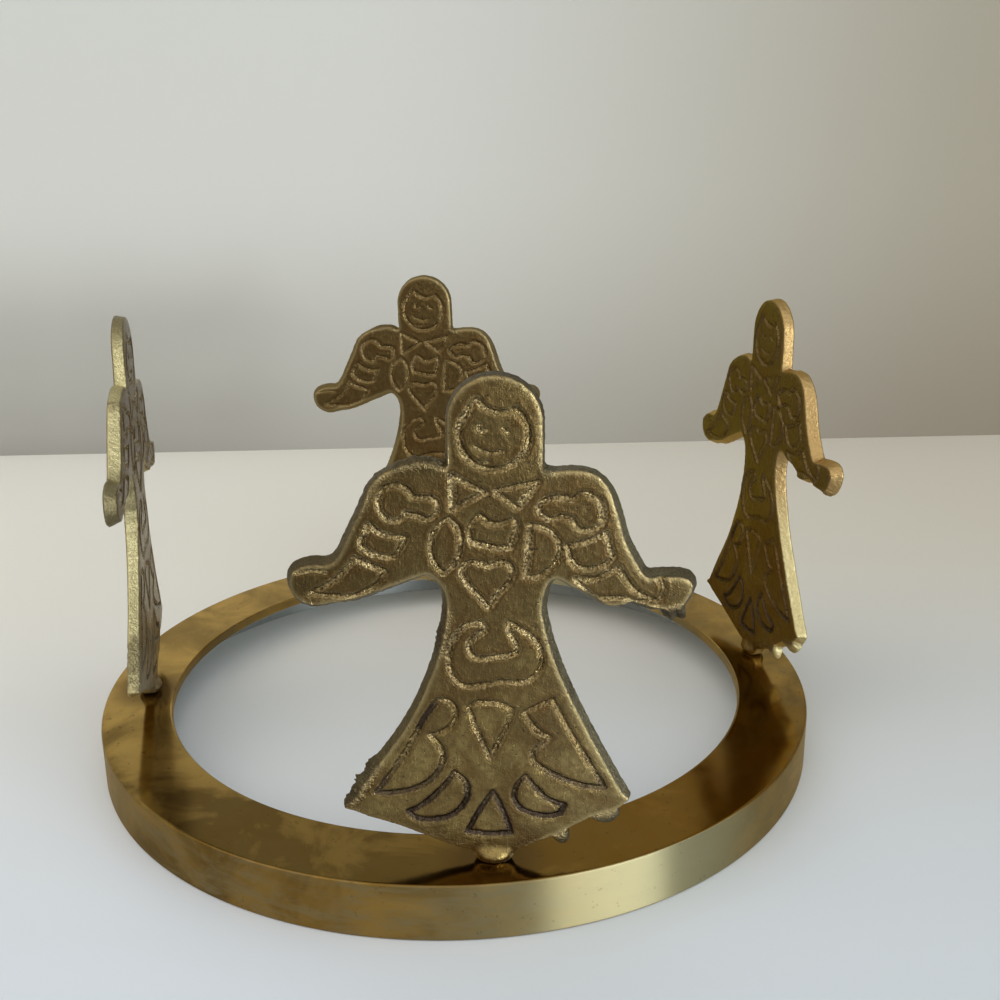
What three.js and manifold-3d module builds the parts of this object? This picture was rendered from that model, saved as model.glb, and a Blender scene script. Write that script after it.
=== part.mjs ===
// Brass candle ring with four flat cast angel figures, each held by one screw from beneath.
// Millimetres, +Z up. The origin is the middle of the ring's underside, and the front figure stands at -Y.

import * as THREE from 'three';
import { mergeVertices } from 'three/addons/utils/BufferGeometryUtils.js';
import Module from 'manifold-3d';

// Ring: turned, with a flat deck and a wall round its outside, hollow and open beneath.
const RING_OUTER_RADIUS = 60;
const RING_INNER_RADIUS = 48.8;
const RING_HEIGHT = 8.2;
const RING_DECK = 1.8;
const RING_WALL = 1.6;
const RING_CHAMFER = 0.4;
const RING_FILLET = 0.5;
const RING_SEGMENTS = 96;

// Figure: a flat casting with rounded edges.
const PLATE_THICKNESS = 2.2;
const PLATE_EDGE_ROUND = 0.4;
const SPLINE_STEPS = 2;
const HEAD_STEPS = 12;

// Foot: a short round nub under the hem, with a spigot below it that turns in the ring's deck.
const RUNNING_GAP = 0.3;
const FOOT_RADIUS = 2.2;
const FOOT_HEIGHT = 2.4;
const FOOT_SHOULDER = 0.5;
const SPIGOT_RADIUS = 1.9;
const SPIGOT_LENGTH = RING_DECK + RUNNING_GAP;
const THREAD_HOLE_RADIUS = 1.25;
const THREAD_HOLE_TOP = 1.2;
const ROUND_SEGMENTS = 20;

// Screw: slotted, with a flat round head that is wider than the hole in the deck.
const SCREW_RADIUS = 1;
const SCREW_HEAD_RADIUS = 2.8;
const SCREW_HEAD_HEIGHT = 1.5;
const SCREW_SEAT_GAP = 0.2;
const SCREW_TIP_GAP = 0.3;
const SLOT_WIDTH = 0.7;
const SLOT_DEPTH = 0.7;

// Finishes: polished ring, rubbed and darkened castings, plain screws.
const RING_FINISH = { color: 0xa87f3c, roughness: 0.22, metalness: 1 };
const FIGURE_FINISH = { color: 0x8f7a48, roughness: 0.42, metalness: 1 };
const SCREW_FINISH = { color: 0xb89a58, roughness: 0.3, metalness: 1 };

// Where each figure stands: angle round the ring, distance of its foot from the middle, turn about its foot
// from facing straight out, and lean of its plate to its own left and towards its face. Angles in degrees.
const FIGURES = [
  { name: 'front', angle: -90, radius: 54.5, turn: -10, sideLean: 0, forwardLean: 0 },
  { name: 'right', angle: 0, radius: 54.4, turn: 186, sideLean: -3, forwardLean: -1.6 },
  { name: 'back', angle: 90, radius: 55, turn: 168, sideLean: -1.5, forwardLean: 0 },
  { name: 'left', angle: 180, radius: 53, turn: 184, sideLean: 4, forwardLean: 0.5 },
];

// Outline of the casting, as [across, up] from the foot, seen from the face side. The head is an arch. Each
// other stretch is a smooth curve through its points and ends at a corner, where the next one starts.
const HEAD_CENTRE = [0.7, 58.3];
const HEAD_RADIUS = 5.8;
const NECK_LEFT = [-5.1, 53];
const NECK_RIGHT = [6.5, 52.6];
const HEM_LEFT = [-19.3, 7.4];
const HEM_MIDDLE = [0, 1.2];
const HEM_RIGHT = [17.6, 9.4];
const STRETCHES = {
  leftArm: [[-6.8, 53.7], [-10.1, 53.4], [-13.8, 51.5], [-15.9, 47.9], [-18.7, 42.4], [-19.9, 41.3]],
  leftHand: [[-22, 41.3], [-24.2, 40.4], [-25.1, 38.6], [-24.4, 36.2], [-21.9, 34.8], [-19.2, 35.2]],
  leftSleeve: [[-16.1, 35.7], [-11.5, 37.5], [-7.6, 39]],
  leftSkirt: [[-6.3, 37.4], [-6, 34.7], [-6.7, 30.7], [-8.6, 25.2], [-11.3, 19.6], [-15.2, 13.8], HEM_LEFT],
  leftHem: [[-17.1, 5.9], [-10.9, 4], [-4.5, 1.9], HEM_MIDDLE],
  rightHem: [[4.4, 2.2], [9.9, 4.6], [13.3, 6.5], [16.3, 7.6], HEM_RIGHT],
  rightSkirt: [[15.3, 13.6], [11.4, 21.4], [8.5, 28.3], [6.9, 34.4], [7.2, 37.4], [7.8, 38.7]],
  rightSleeve: [[10.8, 36.9], [14.1, 35.2], [16.9, 35.6]],
  rightHand: [[20.5, 34.9], [23.2, 35.3], [24.7, 37.9], [24.1, 39.7], [22.2, 40.3], [18.8, 40.1]],
  rightArm: [[16.7, 44], [15, 49.4], [12.9, 52.1], [10.2, 52.9], NECK_RIGHT],
};

const wasm = await Module();
wasm.setup();

/** A closed three.js geometry as a solid that can be joined and cut. */
function toSolid(geometry) {
  const bare = geometry.clone();
  bare.deleteAttribute('normal');
  bare.deleteAttribute('uv');
  const merged = mergeVertices(bare, 1e-4);
  const vertProperties = new Float32Array(merged.attributes.position.array);
  const triVerts = new Uint32Array(merged.index.array);
  return new wasm.Manifold(new wasm.Mesh({ numProp: 3, vertProperties, triVerts }));
}

/** A solid back as a three.js geometry. */
function toGeometry(solid) {
  const { vertProperties, triVerts } = solid.getMesh();
  const geometry = new THREE.BufferGeometry();
  geometry.setAttribute('position', new THREE.BufferAttribute(vertProperties, 3));
  geometry.setIndex(new THREE.BufferAttribute(triVerts, 1));
  geometry.computeVertexNormals();
  return geometry;
}

/** A profile of [radius, height] points turned about the upright axis. */
function turned(profile, segments) {
  const points = profile.map(([radius, height]) => new THREE.Vector2(radius, height));
  return new THREE.LatheGeometry(points, segments).rotateX(Math.PI / 2);
}

/** Moves a geometry made on the upright axis to a figure's foot on top of the ring. */
function atFoot(geometry, figure) {
  const angle = THREE.MathUtils.degToRad(figure.angle);
  return geometry.translate(figure.radius * Math.cos(angle), figure.radius * Math.sin(angle), RING_HEIGHT);
}

/** Round hole through the deck for one spigot. */
function deckHole() {
  const past = 1;
  const radius = SPIGOT_RADIUS + RUNNING_GAP;
  const profile = [
    [0, -RING_DECK - past],
    [radius, -RING_DECK - past],
    [radius, past],
    [0, past],
  ];
  return turned(profile, ROUND_SEGMENTS);
}

/** The ring, with one hole through its deck for each figure. */
function ringBase() {
  const inner = RING_INNER_RADIUS;
  const outer = RING_OUTER_RADIUS;
  const top = RING_HEIGHT;
  const ceiling = top - RING_DECK;
  const wallInside = outer - RING_WALL;
  const cut = RING_CHAMFER;
  const section = [
    [wallInside, 0],
    [outer - cut, 0],
    [outer, cut],
    [outer, top - cut],
    [outer - cut, top],
    [inner + cut, top],
    [inner, top - cut],
    [inner, ceiling],
    [wallInside - RING_FILLET, ceiling],
    [wallInside, ceiling - RING_FILLET],
    [wallInside, 0],
  ];
  let solid = toSolid(turned(section, RING_SEGMENTS));
  for (const figure of FIGURES) {
    solid = solid.subtract(toSolid(atFoot(deckHole(), figure)));
  }
  return toGeometry(solid);
}

/** The casting's outline as one closed shape, anticlockwise from the top of the neck's right side. */
function figureShape() {
  const shape = new THREE.Shape();
  shape.moveTo(...NECK_RIGHT);
  for (let step = 0; step <= HEAD_STEPS; step += 1) {
    const angle = (Math.PI * step) / HEAD_STEPS;
    const across = HEAD_CENTRE[0] + HEAD_RADIUS * Math.cos(angle);
    const up = HEAD_CENTRE[1] + HEAD_RADIUS * Math.sin(angle);
    shape.lineTo(across, up);
  }
  shape.lineTo(...NECK_LEFT);
  for (const stretch of Object.values(STRETCHES)) {
    shape.splineThru(stretch.map(([across, up]) => new THREE.Vector2(across, up)));
  }
  return shape;
}

/** The flat plate of a figure, standing up with its face to -Y, leaning about the middle of its foot. */
function figurePlate(figure) {
  const plate = new THREE.ExtrudeGeometry(figureShape(), {
    depth: PLATE_THICKNESS - 2 * PLATE_EDGE_ROUND,
    steps: 1,
    curveSegments: SPLINE_STEPS,
    bevelEnabled: true,
    bevelThickness: PLATE_EDGE_ROUND,
    bevelSize: PLATE_EDGE_ROUND,
    bevelOffset: -PLATE_EDGE_ROUND,
    bevelSegments: 1,
  });
  plate.translate(0, 0, PLATE_EDGE_ROUND - PLATE_THICKNESS / 2);
  plate.rotateX(Math.PI / 2);
  plate.rotateY(THREE.MathUtils.degToRad(figure.sideLean));
  plate.rotateX(THREE.MathUtils.degToRad(figure.forwardLean));
  return plate;
}

/** The foot nub and the spigot under it, with the threaded hole left open at the bottom. */
function figureFoot() {
  const profile = [
    [0, THREAD_HOLE_TOP],
    [THREAD_HOLE_RADIUS, THREAD_HOLE_TOP],
    [THREAD_HOLE_RADIUS, -SPIGOT_LENGTH],
    [SPIGOT_RADIUS, -SPIGOT_LENGTH],
    [SPIGOT_RADIUS, RUNNING_GAP],
    [FOOT_RADIUS, RUNNING_GAP],
    [FOOT_RADIUS, FOOT_HEIGHT - FOOT_SHOULDER],
    [FOOT_RADIUS - FOOT_SHOULDER, FOOT_HEIGHT],
    [0, FOOT_HEIGHT],
  ];
  return turned(profile, ROUND_SEGMENTS);
}

/** One whole figure: plate and foot as a single casting. */
function angelFigure(figure) {
  return toGeometry(toSolid(figurePlate(figure)).add(toSolid(figureFoot())));
}

/** One screw, head down, with its slot cut across the head. */
function figureScrew() {
  const headTop = -SPIGOT_LENGTH - SCREW_SEAT_GAP;
  const headFace = headTop - SCREW_HEAD_HEIGHT;
  const tip = THREAD_HOLE_TOP - SCREW_TIP_GAP;
  const profile = [
    [0, headFace],
    [SCREW_HEAD_RADIUS, headFace],
    [SCREW_HEAD_RADIUS, headTop],
    [SCREW_RADIUS, headTop],
    [SCREW_RADIUS, tip],
    [0, tip],
  ];
  const slot = new THREE.BoxGeometry(3 * SCREW_HEAD_RADIUS, SLOT_WIDTH, 2 * SLOT_DEPTH);
  slot.translate(0, 0, headFace);
  return toGeometry(toSolid(turned(profile, ROUND_SEGMENTS)).subtract(toSolid(slot)));
}

/** A mesh with its node's name and its own finish. */
function named(name, geometry, finish) {
  const mesh = new THREE.Mesh(geometry, new THREE.MeshStandardMaterial(finish));
  mesh.name = name;
  return mesh;
}

const candleRing = new THREE.Group();
candleRing.add(named('ring_base', ringBase(), RING_FINISH));

for (const figure of FIGURES) {
  const angle = THREE.MathUtils.degToRad(figure.angle);
  const standing = new THREE.Group();
  standing.position.set(figure.radius * Math.cos(angle), figure.radius * Math.sin(angle), RING_HEIGHT);
  standing.rotation.z = angle + Math.PI / 2 + THREE.MathUtils.degToRad(figure.turn);
  standing.add(named(`angel_${figure.name}`, angelFigure(figure), FIGURE_FINISH));
  standing.add(named(`screw_${figure.name}`, figureScrew(), SCREW_FINISH));
  candleRing.add(standing);
}

export default candleRing;
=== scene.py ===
"""Brass candle ring with four cast angel figures: the looks, built round its packed CAD model."""
import math
from collections import namedtuple
from types import SimpleNamespace

import bpy
import numpy as np
from mathutils import Matrix, Vector
from mathutils.geometry import delaunay_2d_cdt


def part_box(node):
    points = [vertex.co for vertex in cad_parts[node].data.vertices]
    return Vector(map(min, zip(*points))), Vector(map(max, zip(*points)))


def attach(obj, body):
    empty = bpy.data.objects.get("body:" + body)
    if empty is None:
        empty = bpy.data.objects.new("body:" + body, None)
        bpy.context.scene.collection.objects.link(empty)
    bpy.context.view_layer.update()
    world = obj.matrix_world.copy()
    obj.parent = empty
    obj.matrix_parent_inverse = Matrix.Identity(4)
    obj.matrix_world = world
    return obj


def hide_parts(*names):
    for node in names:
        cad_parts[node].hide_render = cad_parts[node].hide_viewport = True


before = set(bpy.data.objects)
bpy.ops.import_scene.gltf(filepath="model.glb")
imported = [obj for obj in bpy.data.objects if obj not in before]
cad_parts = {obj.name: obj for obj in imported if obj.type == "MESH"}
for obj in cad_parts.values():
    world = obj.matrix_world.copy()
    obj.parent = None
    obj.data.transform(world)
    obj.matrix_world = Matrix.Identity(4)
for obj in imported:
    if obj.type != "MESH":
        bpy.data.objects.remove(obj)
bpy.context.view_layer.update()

bl_info = {
    "name": "Angel candle ring",
    "version": (1, 0, 0),
    "blender": (4, 5, 0),
    "location": "View3D > Sidebar > Candle ring",
    "description": "Polished brass ring with four engraved cast angels that swivel on their screws",
    "category": "Object",
}

MM = 0.001

# How far off a surface still counts as on it, in metres.
SURFACE_GAP = 0.1 * MM

# Ring, in millimetres. The radius and the height come from the packed ring.
RING_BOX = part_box("ring_base")
RING_OUTER_RADIUS = RING_BOX[1].x / MM
RING_HEIGHT = RING_BOX[1].z / MM
RING_INNER_RADIUS = 48.8

# Where each figure stands, in this order: its angle round the ring, the distance of its foot from the middle,
# its turn about its foot from facing straight out, its lean to its own left and towards its face, the seed of
# its unevenness, how amber its age has made it, how much of its wall has been filed bright and how ragged its
# edge is. Degrees and millimetres.
Figure = namedtuple("Figure", "angle radius turn side_lean forward_lean seed amber filed flash")
FIGURES = {
    "front": Figure(-90, 54.5, -10, 0, 0, 11, 0.1, 0.1, 1),
    "right": Figure(0, 54.4, 186, -3, -1.6, 23, 1, 0.9, 0.25),
    "back": Figure(90, 55, 168, -1.5, 0, 37, 0.75, 0.3, 0.5),
    "left": Figure(180, 53, 184, 4, 0.5, 53, 0, 0.75, 0.4),
}

# Outline of a casting, as (across, up) from its foot in millimetres, seen from the face side. The head is an
# arch. Each other stretch is a smooth curve that starts where the one before it ends.
HEAD_CENTRE = (0.7, 58.3)
HEAD_RADIUS = 5.8
NECK_LEFT = (-5.1, 53)
NECK_RIGHT = (6.5, 52.6)
STRETCHES = {
    "left_arm": [(-6.8, 53.7), (-10.1, 53.4), (-13.8, 51.5), (-15.9, 47.9), (-18.7, 42.4), (-19.9, 41.3)],
    "left_hand": [(-22, 41.3), (-24.2, 40.4), (-25.1, 38.6), (-24.4, 36.2), (-21.9, 34.8), (-19.2, 35.2)],
    "left_sleeve": [(-16.1, 35.7), (-11.5, 37.5), (-7.6, 39)],
    "left_skirt": [
        (-6.3, 37.4), (-6, 34.7), (-6.7, 30.7), (-8.6, 25.2), (-11.3, 19.6), (-15.2, 13.8), (-19.3, 7.4),
    ],
    "left_hem": [(-17.1, 5.9), (-10.9, 4), (-5.6, 2.3), (-4.2, 1.95)],
    "foot_left": [(-3.3, 1.7), (-2.7, 1.35), (-2.45, 0.85), (-1.9, 0.3), (-1.1, 0.07)],
    "foot_sole": [(1.2, 0.07)],
    "foot_right": [(2, 0.3), (2.55, 0.9), (2.8, 1.45), (3.3, 1.9), (4, 2.2)],
    "right_hem": [(4.8, 2.45), (9.9, 4.6), (13.3, 6.5), (16.3, 7.6), (17.6, 9.4)],
    "right_skirt": [(15.3, 13.6), (11.4, 21.4), (8.5, 28.3), (6.9, 34.4), (7.2, 37.4), (7.8, 38.7)],
    "right_sleeve": [(10.8, 36.9), (14.1, 35.2), (16.9, 35.6)],
    "right_hand": [(20.5, 34.9), (23.2, 35.3), (24.7, 37.9), (24.1, 39.7), (22.2, 40.3), (18.8, 40.1)],
    "right_arm": [(16.7, 44), (15, 49.4), (12.9, 52.1), (10.2, 52.9), NECK_RIGHT],
}

# Engraved lines on a casting, in the same millimetres. A motif is a list of strokes, and a stroke is a smooth
# curve through its points, so a corner lies where one stroke ends and the next begins.
FACE_CENTRE = (0.62, 56.85)
FACE_RADIUS = 4.05
FACE_TOP_ANGLE = 41
FACE_ROUND = 262
MOTIFS = {
    "brow": [
        [(-2.44, 59.5), (-2.1, 60.2), (-1.3, 61.1)],
        [(-1.3, 61.1), (-0.2, 60.1), (1, 59.6), (2.3, 59.65), (3.2, 60), (3.68, 59.5)],
    ],
    "collar_left": [
        [(-4.35, 52), (-4.35, 47.9)],
        [(-4.2, 47.9), (-0.5, 50.1)],
        [(-0.5, 50.1), (-4.2, 52)],
    ],
    "collar_right": [
        [(0.8, 50.2), (3.3, 48.1)],
        [(3.3, 48.1), (5.7, 51.3)],
        [(5.7, 51.3), (3.1, 50.8), (0.8, 50.2)],
    ],
    "shoulder_left": [
        [(-8.9, 49.4), (-9.6, 50.4), (-11.2, 50.9), (-12.7, 50), (-13.1, 48.4), (-12.4, 46.9),
         (-11, 46.4), (-9.9, 47.3)],
        [(-9.9, 47.4), (-8.5, 47.1), (-7.2, 46.7), (-6.1, 47.8), (-6.6, 49.2), (-8.9, 49.4)],
    ],
    "shoulder_right": [
        [(9.8, 49.2), (11, 50), (12.6, 49.3), (13.3, 47.9), (13.1, 46.4), (11.9, 45.5), (10.6, 45.6),
         (9.8, 46.8)],
        [(9.8, 46.8), (8.4, 47.1), (6.9, 46.8), (5.9, 48.1), (6.8, 49.2), (8.2, 49.5), (9.8, 49.2)],
    ],
    "upper_arm_left": [
        [(-14.2, 46), (-15.4, 43.7), (-14.6, 42.6), (-13.2, 42.05), (-11.6, 41.9), (-10.9, 42.5),
         (-10, 44.4)],
        [(-10, 44.4), (-12, 44.6), (-13.3, 45.1), (-14.2, 46)],
    ],
    "upper_arm_right": [
        [(9.2, 43.5), (11.4, 44.1), (13.7, 45.1)],
        [(13.7, 45.1), (14.1, 43.6), (14.5, 42.1)],
        [(14.5, 42.1), (13.2, 41), (11.2, 40.6), (9.9, 41.4), (9.2, 43.5)],
    ],
    "forearm_left": [
        [(-16.2, 41.7), (-14.6, 40.9), (-12.4, 40)],
        [(-12.4, 40), (-14.1, 38), (-16.5, 36.9), (-19.5, 36.8), (-21.8, 37.1)],
        [(-21.8, 37.1), (-19, 38.7), (-17.3, 40.3), (-16.2, 41.7)],
    ],
    "forearm_right": [
        [(15.2, 40.8), (16.3, 39.1), (17.7, 37.6), (19.7, 36.7)],
        [(19.7, 36.7), (17.5, 36.5), (15.3, 37), (13, 36.8), (11.9, 37.2), (10.2, 39.3)],
        [(10.2, 39.3), (12.6, 39.4), (15.2, 40.8)],
    ],
    "breast_left": [
        [(-4.8, 46.8), (-3.6, 45.4), (-3.4, 43.3), (-4.3, 41), (-5.6, 39.8)],
        [(-5.6, 39.8), (-6.7, 41.3), (-7, 43.4), (-6.4, 45.5), (-4.8, 46.8)],
    ],
    "breast_middle": [
        [(-1.2, 47.2), (0.7, 46.1), (2.9, 46.9)],
        [(2.9, 46.9), (3.2, 45.6), (2.4, 43.2)],
        [(2.4, 43.2), (1.2, 43.1), (-0.6, 43.5), (-2.2, 43.9)],
        [(-2.2, 43.9), (-2.4, 45.1), (-1.9, 46.4), (-1.2, 47.2)],
    ],
    "breast_right": [
        [(4.9, 46), (4.65, 43.6), (4.3, 39.6)],
        [(4.3, 39.6), (5.7, 39.6), (7.2, 40.6), (8.1, 41.9), (8.3, 43.4), (7.7, 44.8), (6.5, 45.7),
         (4.9, 46)],
    ],
    "heart": [
        [(-0.1, 40.9), (1.9, 41.3), (2.7, 40.2), (2.2, 38.7), (1, 37.4), (-0.2, 35.6)],
        [(-0.2, 35.6), (-1.6, 37.2), (-3, 38.9), (-3.4, 40.2), (-2.3, 41.4), (-0.1, 40.9)],
    ],
    "waist": [
        [(-1.2, 33.6), (-2.9, 33.2), (-4.2, 32), (-5, 30.4), (-5.2, 28.6), (-4.9, 26.7), (-4, 25.4),
         (-2.7, 24.9), (-1, 25.2), (1.3, 25.7), (3.6, 25.6), (5.2, 26.4), (6.1, 27.9), (6.1, 29.8),
         (5.3, 31.4), (4, 32.5), (2.2, 33.6)],
        [(2.2, 33.6), (2.3, 32.3), (3, 31), (3.2, 29.9), (2.3, 29.3), (0.4, 29), (-1.5, 28.7),
         (-2.5, 29.4), (-2.7, 30.6), (-1.9, 31.6), (-0.7, 32.6), (-1.2, 33.6)],
    ],
    "skirt_left": [
        [(-6.7, 22.9), (-8.6, 20.3), (-9.8, 17.7), (-11.2, 15.3), (-12.9, 12.6), (-14.9, 9.8)],
        [(-14.9, 9.8), (-12.9, 9.8), (-10.5, 10.3), (-8.4, 11.3), (-6.8, 13.2), (-6.2, 15.1),
         (-6.6, 16.7), (-7.8, 18.1)],
        [(-7.8, 18.1), (-6.6, 18.4), (-5.4, 19.2), (-4.6, 20.4), (-4.5, 21.7), (-5.3, 22.9),
         (-6.7, 22.9)],
    ],
    "skirt_middle": [
        [(-2.9, 22), (-1.8, 22.7), (-0.3, 22.8), (1.2, 22.6), (2.6, 21.8)],
        [(2.6, 21.8), (1.6, 19), (-0.3, 15)],
        [(-0.3, 15), (-1.7, 18.5), (-2.9, 22)],
    ],
    "skirt_right": [
        [(7.6, 23.3), (8.5, 21.3), (9.7, 18.9), (10.9, 16.9), (12.3, 14.4), (14.1, 11.1)],
        [(14.1, 11.1), (11.5, 11.4), (9.2, 12.2), (6.8, 13.4), (5.3, 14.7), (5.2, 16.3), (6.4, 17.2),
         (7.2, 18.2)],
        [(7.2, 18.2), (6.1, 18.6), (5, 19.9), (4.1, 21.4)],
        [(4.1, 21.4), (5.6, 22.3), (7.6, 23.3)],
    ],
    "hem_left": [
        [(-4.8, 12.9), (-6.4, 10.7), (-8.1, 8.9), (-9.5, 7.8), (-10.8, 7.1)],
        [(-10.8, 7.1), (-9.9, 6.2), (-8.1, 6), (-6.4, 6.3), (-4.9, 7), (-3.7, 8.4), (-3.2, 10),
         (-3.4, 11.6), (-4.8, 12.9)],
    ],
    "hem_middle": [
        [(0, 10.3), (-1.7, 7.6), (-3.3, 4.4)],
        [(-3.3, 4.4), (-0.4, 4.2), (2.2, 4.4)],
        [(2.2, 4.4), (1.3, 7.6), (0, 10.3)],
    ],
    "hem_right": [
        [(4.2, 12.6), (5.3, 11.1), (6.9, 9.4), (9, 8.5)],
        [(9, 8.5), (8.5, 7.4), (7.3, 7), (5.8, 7.1), (4.1, 7.6), (3, 8.6), (2.7, 10), (3.2, 11.5),
         (4.2, 12.6)],
    ],
    "cuff_right": [[(20.2, 39.4), (20.6, 38.3), (20.3, 37.2)]],
}
FINE_LINES = {
    "eye_left": [[(-0.9, 58.15), (-1.1, 57.8), (-0.9, 57.45), (-0.5, 57.35), (-0.15, 57.6)]],
    "eye_right": [[(1.75, 57.7), (2.1, 57.3), (2.45, 57.2)]],
    "mouth": [[(-1.5, 55.5), (-0.9, 55.15), (-0.1, 54.9), (0.7, 54.8), (1.6, 55)]],
    "chin": [[(-1.8, 53.9), (-0.9, 53.6), (0, 53.7)]],
    "cuff_left": [[(-23.4, 39.6), (-21.4, 40), (-19.8, 39.8)]],
}

# Ragged remains of casting along the edge: middle of the stretch, half its length, how far it stands out.
FLASH = [
    ((-8.4, 53.8), 3.2, 0.55),
    ((-17.2, 10.8), 3.8, 1.3),
    ((-6.6, 32), 3.4, 0.4),
    ((-14.2, 50.6), 3, 0.25),
    ((22, 34.8), 1.4, 1.5),
    ((18.6, 35.2), 1.6, 0.35),
    ((6.7, 52.5), 0.8, 0.5),
    ((-22.5, 35), 2.2, 0.2),
]

# Rounded lumps that the casting left along the hem, given in the same way.
LUMPS = [
    ((8.6, 4), 1.1, 1.9),
    ((14.4, 6.95), 1.8, 1.7),
]


def smoothstep(low, high, value):
    """0 below low, 1 above high, and the cubic 3 t^2 - 2 t^3 between them."""
    part = np.clip((value - low) / (high - low), 0, 1)
    return part * part * (3 - 2 * part)


def value_noise(points, spacing, seed, lattice=(61, 67)):
    """Random heights from -1 to 1 on a square lattice of that spacing, eased from one to the next."""
    heights = np.random.default_rng(seed).uniform(-1, 1, lattice)
    cells = points / spacing
    corner = np.floor(cells).astype(int)
    ease = smoothstep(0, 1, cells - corner)
    low = corner % lattice
    high = (corner + 1) % lattice
    near = heights[low[:, 0], low[:, 1]] * (1 - ease[:, 0]) + heights[high[:, 0], low[:, 1]] * ease[:, 0]
    far = heights[low[:, 0], high[:, 1]] * (1 - ease[:, 0]) + heights[high[:, 0], high[:, 1]] * ease[:, 0]
    return near * (1 - ease[:, 1]) + far * ease[:, 1]


SPAN_STEPS = 32
BLOCK = 2000
TINY = 1e-12
WELD = 1e-4
SAME_POINT = 1e-9


def swells(points, kinds, seed):
    """Kinds of noise added up, each given by how far it rises and how far apart its swells lie."""
    total = np.zeros(len(points))
    for number, (rise, spacing) in enumerate(kinds):
        total += rise * value_noise(points, spacing, seed + number)
    return total


def curve_through(points, step):
    """Smooth curve through points, at about equal steps: each span is a cubic whose slope at a point is half
    the way from the point before it to the point after it."""
    given = np.array(points, float)
    last = len(given) - 1
    place = np.linspace(0, last, SPAN_STEPS * last + 1)
    span = np.minimum(place.astype(int), last - 1)
    part = (place - span)[:, None]
    before, start = given[np.maximum(span - 1, 0)], given[span]
    end, after = given[span + 1], given[np.minimum(span + 2, last)]
    slope_start, slope_end = (end - before) / 2, (after - start) / 2
    square = 3 * (end - start) - 2 * slope_start - slope_end
    cube = 2 * (start - end) + slope_start + slope_end
    fine = start + part * (slope_start + part * (square + part * cube))
    travel = np.concatenate([[0], np.cumsum(np.hypot(*np.diff(fine, axis=0).T))])
    count = max(2, round(travel[-1] / step) + 1)
    wanted = np.linspace(0, travel[-1], count)
    return np.stack([np.interp(wanted, travel, fine[:, 0]), np.interp(wanted, travel, fine[:, 1])], 1)


def arc(centre, radius, first, last, step):
    """Round stretch about a centre from one angle to another, in degrees, at about equal steps."""
    first, last = math.radians(first), math.radians(last)
    angle = np.linspace(first, last, round(abs(last - first) * radius / step) + 1)
    return np.stack([centre[0] + radius * np.cos(angle), centre[1] + radius * np.sin(angle)], 1)


def smooth_round(values, width):
    """Averages values round a closed loop with a bell-shaped weight that many samples wide."""
    wave = np.fft.rfftfreq(len(values))
    weight = np.exp(-2 * (math.pi * width * wave) ** 2)
    shape = (-1,) + (1,) * (values.ndim - 1)
    return np.fft.irfft(np.fft.rfft(values, axis=0) * weight.reshape(shape), len(values), axis=0)


def distance_to_lines(points, starts, ends):
    """Least distance from each point to any of the straight pieces that run from starts to ends."""
    along = ends - starts
    reach = np.maximum((along ** 2).sum(1), TINY)
    nearest = np.empty(len(points))
    for block in np.array_split(np.arange(len(points)), len(points) // BLOCK + 1):
        offset = points[block, None, :] - starts
        part = np.clip((offset * along).sum(2) / reach, 0, 1)
        gap = offset - part[:, :, None] * along
        nearest[block] = np.sqrt((gap ** 2).sum(2).min(1))
    return nearest


def inside_loop(points, loop):
    """True where a point is inside the loop: a ray to the right crosses the loop an odd number of times."""
    ahead = np.roll(loop, -1, axis=0)
    rise = ahead[:, 1] - loop[:, 1]
    rise = np.where(rise == 0, TINY, rise)
    inside = np.empty(len(points), bool)
    for block in np.array_split(np.arange(len(points)), len(points) // BLOCK + 1):
        across, up = points[block, 0:1], points[block, 1:2]
        spans = (loop[:, 1] > up) != (ahead[:, 1] > up)
        crossing = loop[:, 0] + (up - loop[:, 1]) / rise * (ahead[:, 0] - loop[:, 0])
        inside[block] = (spans & (crossing > across)).sum(1) % 2 == 1
    return inside


def figure_outline(step):
    """The casting's closed outline, anticlockwise from the right of the neck, with its corners eased."""
    stretches = [curve_through([NECK_RIGHT, (HEAD_CENTRE[0] + HEAD_RADIUS, HEAD_CENTRE[1])], step)]
    stretches.append(arc(HEAD_CENTRE, HEAD_RADIUS, 0, 180, step))
    stretches.append(curve_through([(HEAD_CENTRE[0] - HEAD_RADIUS, HEAD_CENTRE[1]), NECK_LEFT], step))
    for points in STRETCHES.values():
        stretches.append(curve_through([stretches[-1][-1], *points], step))
    return smooth_round(np.concatenate([stretch[:-1] for stretch in stretches]), CORNER_EASE / step)


# How finely a casting is made, in millimetres.
OUTLINE_STEP = 0.2
CORNER_EASE = 0.28
FACE_SPACING = 0.33
STROKE_STEP = 0.3
FINE_BAND = 0.75
LOOP_GAP = 0.6
EDGE_ROWS = 3
WALL_ROWS = 7
ROW_GAP = math.sqrt(3) / 2

# How a casting's form changes with height above its foot: from where to where, and by what share.
WALL_STARTS_SLOPING = (1.5, 5)
NECK = (49, 53)
HEAD_WALL_UPRIGHT = 0.65
CURVE_SHARE = 0.7
SKIRT_SHARE = 0.92
ARMS = (22, 42)
ARMS_THICKER = 0.1
HEAD = (49, 57)
HEAD_THINNER = 0.08
FOOT_RADIUS = 2.6
FOOT_DEPTH = 2.1
FOOT_ENDS = (0.6, 2.5)
FOOT_BESIDE = (0.9, 2)
FOOT_TUCK = 1.3
FOOT_TUCK_SHARE = 0.6
FOOT_LEAST = 0.08
FOOT_PLATE_SHARE = 0.8
LEAN_STARTS = (0.8, 5)

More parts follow.
